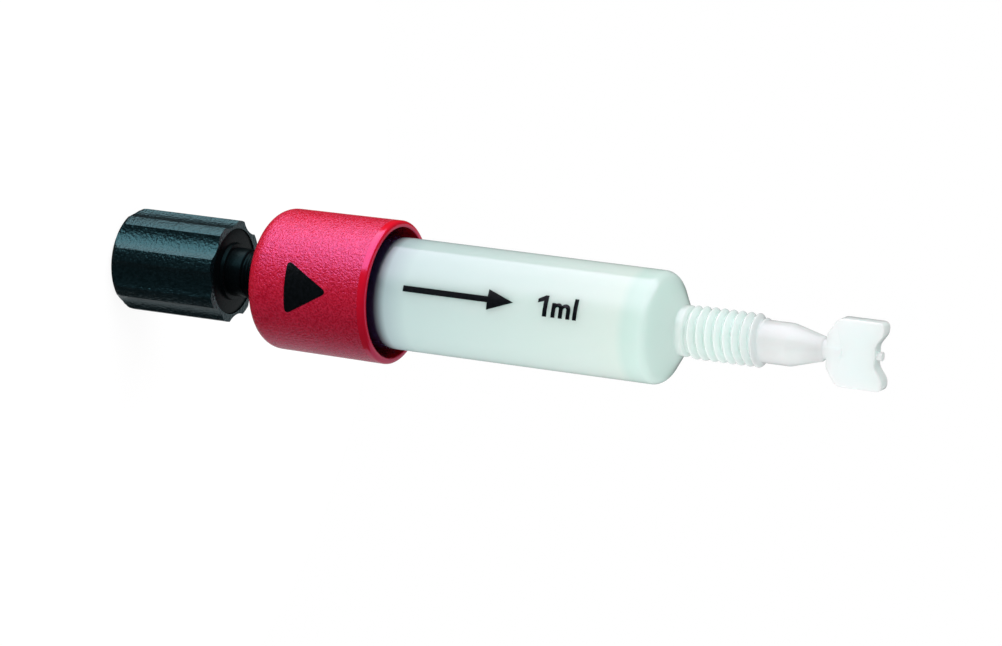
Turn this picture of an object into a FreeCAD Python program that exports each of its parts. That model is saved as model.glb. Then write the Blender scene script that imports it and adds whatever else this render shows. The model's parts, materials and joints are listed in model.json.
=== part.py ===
import FreeCAD, Part
import math
import os
import Sketcher

# Prepacked chromatography column, 1 ml, with a screw stopper at the inlet and a
# snap-off tab at the outlet. All sizes are in millimetres.
#
# Every piece is built about its own X axis, which points from the inlet to the
# outlet, and is then stood up as the column stands on a bench: inlet down, on the
# flat end of the stopper's grip. Each piece's own x = 0 is the face that seats it.

SIZES = {
    # barrel: one moulding with the outlet and the snap-off tab
    "barrel_diameter": 12.0,
    "barrel_bore": 7.0,
    "barrel_length": 45.5,
    "head_diameter": 14.0,
    "head_length": 9.0,
    "head_root_flare": 0.4,
    "floor_thickness": 4.5,
    "funnel_depth": 0.7,
    "shoulder_length": 2.1,
    "shoulder_round": 1.2,
    # outlet: collar, plain core of the thread, nozzle, cone and the neck that snaps
    "collar_diameter": 5.4,
    "collar_length": 0.75,
    "collar_taper": 0.25,
    "outlet_diameter": 4.52,
    "outlet_length": 12.3,
    "outlet_bore": 2.1,
    "outlet_bore_length": 11.0,
    "outlet_bore_bevel": 0.5,
    "channel_diameter": 0.8,
    "cone_length": 3.45,
    "cone_tip_diameter": 2.66,
    "neck_diameter": 2.2,
    "neck_taper": 0.2,
    "neck_length": 0.6,
    # snap-off tab: a flat plate with a notched end, and the round runner inside it
    "tab_width": 7.2,
    "tab_length": 6.25,
    "tab_thickness": 1.9,
    "tab_root_width": 3.5,
    "tab_slope_length": 1.2,
    "tab_notch_depth": 0.9,
    "tab_notch_width": 2.2,
    "tab_notch_mouth": 4.8,
    "tab_corner_round": 0.7,
    "tab_edge_bevel": 0.2,
    "boss_length": 1.7,
    "boss_taper": 0.6,
    "runner_diameter": 0.94,
    # packing between its two frits
    "bed_length": 25.0,
    "frit_thickness": 1.5,
    "seat_clearance": 0.03,
    # cap: a sleeve with a closed end, held on the barrel's head by a snap bead
    "cap_length": 14.7,
    "cap_end_wall": 1.5,
    "cap_wall": 0.57,
    "cap_rim_wall": 0.71,
    "cap_edge_round": 2.0,
    "cap_inner_bevel": 0.8,
    "cap_rim_bevel": 0.3,
    "cap_hole": 6.2,
    "bead_height": 0.35,
    "bead_width": 0.9,
    # inlet adaptor: flange, plug, sealing ring and the port that takes the stopper
    "flange_thickness": 1.2,
    "plug_bevel": 0.3,
    "port_depth": 7.6,
    "ring_section": 1.1,
    "ring_bevel": 0.2,
    "ring_setback": 2.2,
    # stopper: a round screw with a disc, and the fluted grip round it
    "thread_core": 4.8,
    "thread_clearance": 0.08,
    "stem_exposed": 5.15,
    "stem_tip_length": 1.4,
    "stem_tip_diameter": 1.6,
    "tip_clearance": 0.05,
    "shank_diameter": 5.3,
    "shank_length": 2.1,
    "stem_ring_diameter": 6.3,
    "stem_ring_height": 0.35,
    "disc_diameter": 9.3,
    "disc_thickness": 1.6,
    "disc_recess": 0.1,
    "hub_diameter": 6.0,
    "hub_length": 7.5,
    "grip_diameter": 11.06,
    "grip_length": 12.65,
    "grip_end_round": 1.1,
    "flute_count": 8,
    "flute_depth": 0.57,
    "flute_radius": 3.1,
    "flute_turn": 7.95,
}

doc = FreeCAD.newDocument("chromatography_column")
sheet = doc.addObject("Spreadsheet::Sheet", "sizes")
for row, (alias, value) in enumerate(SIZES.items(), start=1):
    sheet.set(f"A{row}", alias.replace("_", " "))
    sheet.set(f"B{row}", str(value))
    sheet.setAlias(f"B{row}", alias)
doc.recompute()


def value_of(expression):
    """The number that an expression over the sheet gives."""
    return float(sheet.evalExpression(expression))


def new_body(name):
    body = doc.addObject("PartDesign::Body", name)
    body.Label = name
    return body


def origin_plane(body, role):
    return next(item for item in body.Origin.OriginFeatures if item.Role == role)


def bind(item, **expressions):
    for field, expression in expressions.items():
        item.setExpression(field, expression)


def outline(body, name, corners, role="XY_Plane"):
    """A closed outline of straight lines; each corner is a pair of expressions."""
    sketch = body.newObject("Sketcher::SketchObject", name)
    sketch.AttachmentSupport = [(origin_plane(body, role), "")]
    sketch.MapMode = "FlatFace"
    places = [FreeCAD.Vector(value_of(u), value_of(v), 0) for u, v in corners]
    count = len(corners)
    for i in range(count):
        sketch.addGeometry(Part.LineSegment(places[i], places[(i + 1) % count]), False)
    for i in range(count):
        sketch.addConstraint(Sketcher.Constraint("Coincident", i, 2, (i + 1) % count, 1))
    for i, (corner, place) in enumerate(zip(corners, places)):
        for kind, axis, expression, start in (
            ("DistanceX", -2, corner[0], place.x),
            ("DistanceY", -1, corner[1], place.y),
        ):
            if expression == "0":
                sketch.addConstraint(Sketcher.Constraint("PointOnObject", i, 1, axis))
            else:
                index = sketch.addConstraint(Sketcher.Constraint(kind, -1, 1, i, 1, start))
                sketch.setExpression(f"Constraints[{index}]", expression)
    return sketch


def revolve(body, name, corners, cut=False):
    """A turned form about the X axis, added to the body or cut from it."""
    sketch = outline(body, name + "_section", corners)
    kind = "PartDesign::Groove" if cut else "PartDesign::Revolution"
    turned = body.newObject(kind, name)
    turned.Profile = sketch
    turned.ReferenceAxis = (sketch, ["H_Axis"])
    turned.Angle = 360
    doc.recompute()
    return turned


def ring_edges(feature, *rings):
    """Names of the feature's circular edges at the given (x, radius) places."""
    wanted = [(value_of(x), value_of(radius)) for x, radius in rings]
    names = []
    for number, edge in enumerate(feature.Shape.Edges, start=1):
        curve = edge.Curve
        if not isinstance(curve, Part.Circle) or abs(abs(curve.Axis.x) - 1) > 1e-6:
            continue
        for x, radius in wanted:
            if abs(curve.Center.x - x) < 1e-4 and abs(curve.Radius - radius) < 1e-4:
                names.append(f"Edge{number}")
    return names


def round_edges(body, name, feature, edges, radius):
    fillet = body.newObject("PartDesign::Fillet", name)
    fillet.Base = (feature, edges)
    bind(fillet, Radius=radius)
    doc.recompute()
    return fillet


def bevel_edges(body, name, feature, edges, size):
    chamfer = body.newObject("PartDesign::Chamfer", name)
    chamfer.Base = (feature, edges)
    bind(chamfer, Size=size)
    doc.recompute()
    return chamfer


BORE_FLOOR = "(sizes.barrel_length - sizes.floor_thickness)"
NOZZLE_END = "(sizes.barrel_length + sizes.outlet_length)"
CONE_END = "(sizes.barrel_length + sizes.outlet_length + sizes.cone_length)"
TAB_START = "(" + CONE_END + " + sizes.neck_length)"
TAB_END = "(" + TAB_START + " + sizes.tab_length)"
CAP_BORE = "(sizes.head_diameter / 2 + sizes.seat_clearance)"
CAP_SIDE = "(sizes.head_diameter / 2 + sizes.seat_clearance + sizes.cap_wall)"
CAP_RIM_SIDE = "(sizes.head_diameter / 2 + sizes.seat_clearance + sizes.cap_rim_wall)"
CAP_RIM = "(sizes.cap_length - sizes.cap_end_wall - sizes.flange_thickness)"
GRIP_FACE = "(-sizes.flange_thickness - sizes.cap_end_wall - sizes.stem_exposed)"


def rounded_end(end, side, radius, steps):
    """Points of a quarter round between an end face and an outer side, from the
    face to the side, on a piece that lies at higher x than the face."""
    turns = [90 * i / steps for i in range(steps + 1)]
    return [
        (f"{end} + {radius} * (1 - cos({turn} deg))",
         f"{side} - {radius} * (1 - sin({turn} deg))")
        for turn in turns
    ]


def tab_plate(body):
    """The flat grip that is twisted off: wide, with sloped roots and a notched end."""
    slope_end = TAB_START + " + sizes.tab_slope_length"
    notch_floor = TAB_END + " - sizes.tab_notch_depth"
    half = [
        (TAB_START, "sizes.tab_root_width / 2"),
        (slope_end, "sizes.tab_width / 2"),
        (TAB_END, "sizes.tab_width / 2"),
        (TAB_END, "sizes.tab_notch_mouth / 2"),
        (notch_floor, "sizes.tab_notch_width / 2"),
    ]
    other_half = [(along, "-" + across) for along, across in reversed(half)]
    sketch = outline(body, "tab_outline", half + other_half)
    plate = body.newObject("PartDesign::Pad", "tab_pad")
    plate.Profile = sketch
    plate.Midplane = True
    bind(plate, Length="sizes.tab_thickness")
    doc.recompute()
    upright = [
        f"Edge{number}"
        for number, edge in enumerate(plate.Shape.Edges, start=1)
        if abs(edge.Vertexes[0].Z - edge.Vertexes[-1].Z) > 1e-3
    ]
    corners = round_edges(body, "tab_corners", plate, upright, "sizes.tab_corner_round")
    top = [
        f"Edge{number}"
        for number, edge in enumerate(corners.Shape.Edges, start=1)
        if abs(edge.Vertexes[0].Z - edge.Vertexes[-1].Z) < 1e-6
    ]
    return bevel_edges(body, "tab_edges", corners, top, "sizes.tab_edge_bevel")


def barrel():
    """Bore with a wide head, shoulder, threaded outlet, cone, snap neck and tab."""
    body = new_body("barrel")
    tab_plate(body)
    root = "sizes.barrel_length"
    bore_end = "(" + root + " + sizes.outlet_bore_length)"
    shell = revolve(body, "barrel_form", [
        ("0", "sizes.barrel_bore / 2"),
        ("0", "sizes.head_diameter / 2"),
        ("sizes.head_length", "sizes.head_diameter / 2"),
        ("sizes.head_length", "sizes.barrel_diameter / 2 + sizes.head_root_flare"),
        (CAP_RIM, "sizes.barrel_diameter / 2"),
        (root + " - sizes.shoulder_length", "sizes.barrel_diameter / 2"),
        (root, "sizes.collar_diameter / 2"),
        (root + " + sizes.collar_length", "sizes.collar_diameter / 2"),
        (root + " + sizes.collar_length + sizes.collar_taper", "sizes.outlet_diameter / 2"),
        (NOZZLE_END, "sizes.outlet_diameter / 2"),
        (CONE_END, "sizes.cone_tip_diameter / 2"),
        (CONE_END + " + sizes.neck_taper", "sizes.neck_diameter / 2"),
        (TAB_START + " + sizes.boss_length", "sizes.neck_diameter / 2"),
        (TAB_START + " + sizes.boss_length + sizes.boss_taper", "sizes.runner_diameter / 2"),
        (TAB_END, "sizes.runner_diameter / 2"),
        (TAB_END, "0"),
        (CONE_END + " + sizes.neck_length / 2", "0"),
        (CONE_END + " + sizes.neck_length / 2", "sizes.channel_diameter / 2"),
        (bore_end, "sizes.channel_diameter / 2"),
        (bore_end, "sizes.outlet_bore / 2 - sizes.outlet_bore_bevel"),
        (bore_end + " - sizes.outlet_bore_bevel", "sizes.outlet_bore / 2"),
        (BORE_FLOOR + " + sizes.funnel_depth", "sizes.outlet_bore / 2"),
        (BORE_FLOOR, "sizes.barrel_bore / 2"),
    ])
    shoulder = ring_edges(
        shell, (root + " - sizes.shoulder_length", "sizes.barrel_diameter / 2"))
    round_edges(body, "shoulder_edge", shell, shoulder, "sizes.shoulder_round")
    return body


def top_cap():
    """Sleeve with a closed, holed end; x = 0 is the inside of the closed end."""
    body = new_body("top_cap")
    rim = "(sizes.cap_length - sizes.cap_end_wall)"
    bead = "(sizes.flange_thickness + sizes.head_length + sizes.seat_clearance)"
    revolve(body, "cap_form", [
        ("-sizes.cap_end_wall", "sizes.cap_hole / 2"),
        *rounded_end("-sizes.cap_end_wall", CAP_SIDE, "sizes.cap_edge_round", 5),
        (rim + " - sizes.cap_rim_bevel", CAP_RIM_SIDE),
        (rim, CAP_RIM_SIDE + " - sizes.cap_rim_bevel"),
        (rim, CAP_BORE),
        (bead + " + sizes.bead_width", CAP_BORE),
        (bead + " + sizes.bead_width / 2", CAP_BORE + " - sizes.bead_height"),
        (bead, CAP_BORE),
        ("sizes.cap_inner_bevel", CAP_BORE),
        ("0", CAP_BORE + " - sizes.cap_inner_bevel"),
        ("0", "sizes.cap_hole / 2"),
    ])
    return body


def inlet_adaptor():
    """Flange on the barrel's end, plug in its bore and a blind port for the stopper."""
    body = new_body("inlet_adaptor")
    plug_end = "(" + BORE_FLOOR + " - sizes.bed_length - 2 * sizes.frit_thickness)"
    plug_radius = "(sizes.barrel_bore / 2 - sizes.seat_clearance)"
    port_radius = "(sizes.thread_core / 2 + sizes.thread_clearance)"
    port_floor = "(sizes.port_depth - sizes.flange_thickness)"
    flange_radius = "(sizes.head_diameter / 2 - sizes.cap_inner_bevel)"
    form = revolve(body, "adaptor_form", [
        ("-sizes.flange_thickness", port_radius),
        ("-sizes.flange_thickness", flange_radius),
        ("0", flange_radius),
        ("0", plug_radius),
        (plug_end + " - sizes.plug_bevel", plug_radius),
        (plug_end, plug_radius + " - sizes.plug_bevel"),
        (plug_end, "sizes.channel_diameter / 2"),
        (port_floor, "sizes.channel_diameter / 2"),
        (port_floor, "sizes.stem_tip_diameter / 2"),
        (port_floor + " - sizes.stem_tip_length", port_radius),
    ])
    groove_mid = plug_end + " - sizes.ring_setback"
    revolve(body, "ring_groove", [
        (groove_mid + " - sizes.ring_section / 2", "sizes.barrel_bore / 2"),
        (groove_mid + " + sizes.ring_section / 2", "sizes.barrel_bore / 2"),
        (groove_mid + " + sizes.ring_section / 2",
         "sizes.barrel_bore / 2 - sizes.ring_section - 2 * sizes.seat_clearance"),
        (groove_mid + " - sizes.ring_section / 2",
         "sizes.barrel_bore / 2 - sizes.ring_section - 2 * sizes.seat_clearance"),
    ], cut=True)
    if body.Shape.Volume >= form.Shape.Volume:
        raise RuntimeError("the ring groove cut nothing")
    return body


def sealing_ring():
    """Rubber ring in the adaptor's groove; x = 0 is the middle of its section."""
    body = new_body("sealing_ring")
    outer = "(sizes.barrel_bore / 2 - sizes.seat_clearance)"
    inner = "(sizes.barrel_bore / 2 - sizes.ring_section - sizes.seat_clearance)"
    side = "(sizes.ring_section / 2 - sizes.seat_clearance)"
    revolve(body, "ring_form", [
        ("-" + side, inner),
        ("-" + side, outer + " - sizes.ring_bevel"),
        ("-" + side + " + sizes.ring_bevel", outer),
        (side + " - sizes.ring_bevel", outer),
        (side, outer + " - sizes.ring_bevel"),
        (side, inner),
    ])
    return body


def disc(name, length):
    """A round plug of packing or frit that fills the bore; x = 0 is its inlet side."""
    body = new_body(name)
    radius = "(sizes.barrel_bore / 2 - sizes.seat_clearance)"
    revolve(body, name + "_form", [("0", "0"), ("0", radius), (length, radius), (length, "0")])
    return body


def stopper_screw():
    """Disc, hub, shank and stem, which seals in the port; x = 0 is the disc's face."""
    body = new_body("stopper_screw")
    stem_end = ("(sizes.stem_exposed + sizes.cap_end_wall + sizes.port_depth"
                " - sizes.tip_clearance + sizes.disc_recess)")
    revolve(body, "screw_form", [
        ("-sizes.disc_thickness - sizes.hub_length", "0"),
        ("-sizes.disc_thickness - sizes.hub_length", "sizes.hub_diameter / 2"),
        ("-sizes.disc_thickness", "sizes.hub_diameter / 2"),
        ("-sizes.disc_thickness", "sizes.disc_diameter / 2"),
        ("0", "sizes.disc_diameter / 2"),
        ("0", "sizes.stem_ring_diameter / 2"),
        ("sizes.stem_ring_height", "sizes.shank_diameter / 2"),
        ("sizes.shank_length", "sizes.shank_diameter / 2"),
        ("sizes.shank_length + (sizes.shank_diameter - sizes.thread_core) / 2",
         "sizes.thread_core / 2"),
        (stem_end + " - sizes.stem_tip_length", "sizes.thread_core / 2"),
        (stem_end, "sizes.stem_tip_diameter / 2"),
        (stem_end, "0"),
    ])
    return body


def stopper_grip():
    """Fluted sleeve, closed at its far end; x = 0 is its face towards the cap."""
    body = new_body("stopper_grip")
    circle = body.newObject("Sketcher::SketchObject", "grip_circle")
    circle.AttachmentSupport = [(origin_plane(body, "YZ_Plane"), "")]
    circle.MapMode = "FlatFace"
    add_circle(circle, "0", "sizes.grip_diameter / 2")
    cylinder = body.newObject("PartDesign::Pad", "grip_pad")
    cylinder.Profile = circle
    cylinder.Reversed = True
    bind(cylinder, Length="sizes.grip_length")
    doc.recompute()

    flute = body.newObject("Sketcher::SketchObject", "flute_circle")
    flute.AttachmentSupport = [(origin_plane(body, "YZ_Plane"), "")]
    flute.MapMode = "FlatFace"
    add_circle(flute, "sizes.grip_diameter / 2 - sizes.flute_depth + sizes.flute_radius",
               "sizes.flute_radius")
    cut = body.newObject("PartDesign::Pocket", "flute_cut")
    cut.Profile = flute
    cut.Midplane = True
    cut.Type = "Length"
    bind(cut, Length="2 * sizes.grip_length + sizes.grip_end_round")
    doc.recompute()
    if cut.Shape.Volume >= cylinder.Shape.Volume:
        raise RuntimeError("the flute cut nothing")
    pattern = body.newObject("PartDesign::PolarPattern", "flutes")
    pattern.Originals = [cut]
    pattern.Axis = (flute, ["N_Axis"])
    pattern.Angle = 360
    bind(pattern, Occurrences="sizes.flute_count")
    body.Tip = pattern
    doc.recompute()

    far_round = rounded_end(
        "-sizes.grip_length", "sizes.grip_diameter / 2", "sizes.grip_end_round", 3)
    beyond = "(sizes.grip_diameter / 2 + sizes.grip_end_round)"
    past_end = "(-sizes.grip_length - sizes.grip_end_round)"
    inner, outer = far_round[0][1], far_round[-1][0]
    revolve(body, "far_rim", [
        (past_end, inner), *far_round, (outer, beyond), (past_end, beyond),
    ], cut=True)
    seat = "(sizes.disc_recess + sizes.disc_thickness)"
    hub_end = "(" + seat + " + sizes.hub_length + sizes.seat_clearance)"
    disc_wall = "(sizes.disc_diameter / 2 + sizes.seat_clearance)"
    hub_wall = "(sizes.hub_diameter / 2 + sizes.seat_clearance)"
    revolve(body, "screw_seat", [
        ("0", "0"),
        ("0", disc_wall),
        ("-" + seat, disc_wall),
        ("-" + seat, hub_wall),
        ("-" + hub_end, hub_wall),
        ("-" + hub_end, "0"),
    ], cut=True)
    return body


def add_circle(sketch, away, radius):
    """A circle on the sketch's first axis, this far from the origin."""
    centre = FreeCAD.Vector(value_of(away), 0, 0)
    sketch.addGeometry(Part.Circle(centre, FreeCAD.Vector(0, 0, 1), value_of(radius)), False)
    size = sketch.addConstraint(Sketcher.Constraint("Radius", 0, value_of(radius)))
    sketch.setExpression(f"Constraints[{size}]", radius)
    if away == "0":
        sketch.addConstraint(Sketcher.Constraint("Coincident", 0, 3, -1, 1))
    else:
        place = sketch.addConstraint(
            Sketcher.Constraint("DistanceX", -1, 1, 0, 3, value_of(away)))
        sketch.setExpression(f"Constraints[{place}]", away)
        sketch.addConstraint(Sketcher.Constraint("PointOnObject", 0, 3, -1))


def seated_pieces():
    """Each piece with its place along the column's axis, where x = 0 is the barrel's
    inlet end, and its turn about that axis in degrees."""
    frit_floor = value_of(BORE_FLOOR + " - sizes.frit_thickness")
    bed_start = value_of(BORE_FLOOR + " - sizes.frit_thickness - sizes.bed_length")
    plug_end = value_of(BORE_FLOOR + " - sizes.bed_length - 2 * sizes.frit_thickness")
    cap_seat = value_of("-sizes.flange_thickness")
    grip_face = value_of(GRIP_FACE)
    return [
        (barrel(), 0, 0),
        (disc("bottom_frit", "sizes.frit_thickness"), frit_floor, 0),
        (disc("packed_bed", "sizes.bed_length"), bed_start, 0),
        (disc("top_frit", "sizes.frit_thickness"), plug_end, 0),
        (inlet_adaptor(), 0, 0),
        (sealing_ring(), plug_end - value_of("sizes.ring_setback"), 0),
        (top_cap(), cap_seat, 0),
        (stopper_screw(), grip_face - value_of("sizes.disc_recess"), 0),
        (stopper_grip(), grip_face, value_of("sizes.flute_turn")),
    ]


def stand_up(pieces):
    """Stand the column on its grip, with its axis up the Z axis, z = 0 at the grip's
    far end, and the tab's flat side to the front, which is -Y."""
    upright = FreeCAD.Rotation(
        FreeCAD.Vector(0, 0, 1), FreeCAD.Vector(-1, 0, 0), FreeCAD.Vector(0, -1, 0), "XYZ")
    height = value_of(GRIP_FACE + " * -1 + sizes.grip_length")
    standing = FreeCAD.Placement(FreeCAD.Vector(0, 0, height), upright)
    along_axis = FreeCAD.Vector(1, 0, 0)
    for piece, x, turn in pieces:
        seat = FreeCAD.Placement(FreeCAD.Vector(x, 0, 0), FreeCAD.Rotation(along_axis, turn))
        piece.Placement = standing * seat
    doc.recompute()
    print(f"the barrel's inlet end stands {height:.3f} mm high")


pieces = seated_pieces()
stand_up(pieces)

for item in doc.Objects:
    if "Invalid" in item.State or "Error" in item.State:
        raise RuntimeError(f"{item.Label} failed: {item.State}")
for piece, _, _ in pieces:
    if piece.Shape.isNull() or not piece.Shape.isValid() or len(piece.Shape.Solids) != 1:
        raise RuntimeError(f"{piece.Label} has no sound solid")

os.makedirs("parts", exist_ok=True)
for piece, _, _ in pieces:
    piece.Shape.exportStep(f"parts/{piece.Label}.step")
    print(f"{piece.Label}: {piece.Shape.Volume:.2f} mm3")
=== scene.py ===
# %% [markdown]
# A prepacked chromatography column stands on the flat end of its black screw
# stopper: a fluted grip, a threaded stem, a red cap, a milky barrel, and a
# threaded outlet that ends in a snap-off tab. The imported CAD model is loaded
# first and never moved. Each piece that needs more detail is modelled again in
# the same place and stands for its CAD node.

# %% Load the fixed frame
import json
import math

import bmesh
import bpy
from mathutils import Matrix, Vector


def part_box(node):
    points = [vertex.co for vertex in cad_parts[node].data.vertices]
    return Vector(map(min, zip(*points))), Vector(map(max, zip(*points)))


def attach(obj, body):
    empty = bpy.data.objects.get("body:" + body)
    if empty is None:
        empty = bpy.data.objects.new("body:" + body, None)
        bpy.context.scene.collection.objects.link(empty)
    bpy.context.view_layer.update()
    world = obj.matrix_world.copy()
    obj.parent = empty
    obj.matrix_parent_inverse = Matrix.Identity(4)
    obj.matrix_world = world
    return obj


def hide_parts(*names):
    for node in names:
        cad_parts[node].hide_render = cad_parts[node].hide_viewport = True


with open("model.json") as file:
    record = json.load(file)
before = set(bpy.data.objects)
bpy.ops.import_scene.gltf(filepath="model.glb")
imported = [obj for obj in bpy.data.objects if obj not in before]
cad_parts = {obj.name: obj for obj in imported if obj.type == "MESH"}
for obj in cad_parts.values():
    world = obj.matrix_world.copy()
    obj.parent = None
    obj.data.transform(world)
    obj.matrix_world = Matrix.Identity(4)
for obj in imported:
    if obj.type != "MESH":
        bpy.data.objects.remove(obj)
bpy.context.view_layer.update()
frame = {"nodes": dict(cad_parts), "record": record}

MM = 0.001

# %% [markdown]
# Heights come from the frame, so the new pieces sit where the CAD pieces are.
# The column's axis is the Z axis. The barrel's pin mount gives its radius, and
# the boxes of the nodes give where the cap, the barrel and the grip begin and
# end. What a box can't say, such as a wall or a thread, is a named size in mm.

# %% Read the heights of the main pieces
def heights(node):
    """Lowest and highest point of a CAD node in mm."""
    low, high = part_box(node)
    return low.z / MM, high.z / MM


GRIP_END, GRIP_FACE = heights("stopper_grip")
CAP_FACE, CAP_RIM = heights("top_cap")
BARREL_INLET, TAB_END = heights("barrel")
BED_END = heights("packed_bed")[1]
PLUG_START, PLUG_END = heights("inlet_adaptor")
wall_mount = next(m for m in frame["record"]["mounts"] if m["name"] == "barrel_wall")
BARREL_RADIUS = wall_mount["dims"]["r_mm"]
CAP_RIM_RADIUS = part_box("top_cap")[1].x / MM
# The middle of a flute is turned this far from the X axis, and its edge lies about
# as far on the other side, so the box's side gives the radius of the grip.
FLUTE_TURN = math.radians(7.95)
GRIP_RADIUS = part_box("stopper_grip")[1].x / MM / math.cos(FLUTE_TURN)
print("grip", GRIP_END, GRIP_FACE, "cap", CAP_FACE, CAP_RIM, "barrel", BARREL_INLET, TAB_END)

# %% [markdown]
# Turned pieces are made the way a lathe hand thinks: one circle is added, and
# its edge is extruded and scaled from ring to ring until the whole wall stands.
# A spin of a profile would do the same, but the rings keep the quads in even
# rows, and that suits a thread later. Everything is deselected first, because an
# operator acts on all that is selected.

# %% Helpers for turned pieces
MERGE_MM = 0.0005  # points nearer to each other than this become one


def deselect_all():
    for item in list(bpy.context.selected_objects):
        item.select_set(False)


def make_active(piece):
    """Select one piece alone, so the next operator acts on it."""
    deselect_all()
    piece.select_set(True)
    bpy.context.view_layer.objects.active = piece


def turned(name, rings, corners=128, closed=False):
    """A wall through rings of (radius, height) in mm. A closed one ends where it
    began, and an open one gets a flat face at each end."""
    deselect_all()
    path = rings + rings[:1] if closed else rings
    radius, height = rings[0]
    bpy.ops.mesh.primitive_circle_add(
        vertices=corners, radius=radius * MM, fill_type="NOTHING" if closed else "NGON",
        location=(0, 0, height * MM))
    piece = bpy.context.object
    piece.name = name
    bpy.ops.object.transform_apply(location=True, rotation=True, scale=True)
    bpy.ops.object.mode_set(mode="EDIT")
    bpy.ops.mesh.select_all(action="SELECT")
    for (radius, height), (next_radius, next_height) in zip(path, path[1:]):
        bpy.ops.mesh.extrude_region_move(
            TRANSFORM_OT_translate={"value": (0, 0, (next_height - height) * MM)})
        grow = next_radius / radius
        bpy.ops.transform.resize(
            value=(grow, grow, 1), center_override=(0, 0, next_height * MM))
    bpy.ops.mesh.select_all(action="SELECT")
    bpy.ops.mesh.remove_doubles(threshold=MERGE_MM * MM)
    bpy.ops.mesh.normals_make_consistent(inside=False)
    bpy.ops.object.mode_set(mode="OBJECT")
    return piece


def bevel_edges(piece, wanted, width, segments):
    """Round the edges whose two ends, in mm, pass a test."""
    make_active(piece)
    bpy.ops.object.mode_set(mode="EDIT")
    bpy.ops.mesh.select_mode(type="EDGE")
    bpy.ops.mesh.select_all(action="DESELECT")
    sculpt = bmesh.from_edit_mesh(piece.data)
    for edge in sculpt.edges:
        if wanted(*(v.co / MM for v in edge.verts)):
            edge.select = True
    bmesh.update_edit_mesh(piece.data)
    bpy.ops.mesh.bevel(offset=width * MM, segments=segments, affect="EDGES")
    bpy.ops.object.mode_set(mode="OBJECT")


ON_RING_MM = 0.003  # a point this near to a ring's radius and height is on it


def bevel_rings(piece, rings, width, segments=3):
    """Round the circular edges that lie at the given (radius, height) places."""
    def on_a_ring(*ends):
        return any(
            all(abs(end.xy.length - radius) < ON_RING_MM and abs(end.z - height) < ON_RING_MM
                for end in ends)
            for radius, height in rings)

    bevel_edges(piece, on_a_ring, width, segments)


def smooth(piece, angle=30):
    """Shade the faces smooth, with edges above an angle in degrees kept sharp."""
    make_active(piece)
    bpy.ops.object.shade_smooth_by_angle(angle=math.radians(angle))


def evenly(start, end, step):
    """Heights from start to end, about a step apart."""
    count = max(1, round(abs(end - start) / step))
    return [start + (end - start) * i / count for i in range(count + 1)]


ON_ROOT_MM = 0.02  # a point this near to the root's radius belongs to the thread


def cut_thread(piece, start, end, root, crest, pitch, crest_at, run_out):
    """Push the rows between two heights out along a right-hand helix that has a
    crest at the given height on the +X side. Crest and root are round, as on a
    moulded thread, and both ends fade over the run-out."""
    for vertex in piece.data.vertices:
        x, y, z = vertex.co / MM
        if not start < z < end or abs(math.hypot(x, y) - root) > ON_ROOT_MM:
            continue
        turn = math.atan2(y, x) / math.tau
        off = ((z - crest_at) / pitch - turn + 0.5) % 1 - 0.5
        ridge = 0.5 + 0.5 * math.cos(math.tau * off)
        fade = min(1, (z - start) / run_out, (end - z) / run_out)
        grow = (root + (crest - root) * ridge * fade) / math.hypot(x, y)
        vertex.co.x *= grow
        vertex.co.y *= grow


# %% [markdown]
# The photograph was taken with a long lens, about 25 degrees off square to the
# barrel, from the outlet's side. The camera is described by how the column's axis
# lies in the picture: its angle to the line of sight, its slope in the frame and
# the column's roll. From these three angles the script works out the camera's
# turn, and from the place of the cap's rim its position.

# %% Camera at the photograph's viewing angle
LENS_MM = 180
SENSOR_MM = 36
AXIS_TO_SIGHT = math.radians(64.87)
AXIS_SLOPE = math.radians(7.594)
ROLL = math.radians(12.7)
RIM_FROM_CAMERA = Vector((-11.095, 3.238, -534.6))
AXIS = Vector((0, 0, 1))
FRONT = Vector((-math.sin(ROLL), -math.cos(ROLL), 0))  # the side that faces the lens


def photograph_camera():
    """Turn a camera so that axis and front lie as the photograph shows them."""
    data = bpy.data.cameras.new("photograph_camera")
    data.lens = LENS_MM
    data.sensor_width = SENSOR_MM
    camera = bpy.data.objects.new("photograph_camera", data)
    bpy.context.scene.collection.objects.link(camera)
    axis_seen = Vector((
        math.sin(AXIS_TO_SIGHT) * math.cos(AXIS_SLOPE),
        -math.sin(AXIS_TO_SIGHT) * math.sin(AXIS_SLOPE),
        math.cos(AXIS_TO_SIGHT)))
    towards_lens = Vector((0, 0, 1))
    front_seen = (towards_lens - axis_seen * axis_seen.dot(towards_lens)).normalized()
    seen = Matrix((axis_seen, front_seen, axis_seen.cross(front_seen))).transposed()
    built = Matrix((AXIS, FRONT, AXIS.cross(FRONT))).transposed()
    turn = built @ seen.transposed()
    rim = Vector((0, 0, CAP_RIM))
    camera.matrix_world = Matrix.LocRotScale((rim - turn @ RIM_FROM_CAMERA) * MM, turn, None)
    data.clip_start, data.clip_end = 0.01, 10
    bpy.context.scene.camera = camera
    return camera


camera = photograph_camera()
print("camera at", [round(v, 4) for v in camera.matrix_world.translation])

# %% [markdown]
# Every finish starts from a hex colour as a painter would read it off a swatch.
# Blender works with linear light, so one function turns the hex value to linear.
# A second function adds a node with its settings and links, and all the
# materials are built with it.

# %% Helpers for materials
def colour(swatch):
    """An sRGB hex value as linear red, green, blue and alpha."""
    parts = [int(swatch[i:i + 2], 16) / 255 for i in (1, 3, 5)]
    linear = [p / 12.92 if p <= 0.04045 else ((p + 0.055) / 1.055) ** 2.4 for p in parts]
    return (*linear, 1)


def new_material(name):
    """An empty material and its node tree."""
    material = bpy.data.materials.new(name)
    material.use_nodes = True
    material.node_tree.nodes.clear()
    return material, material.node_tree


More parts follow.
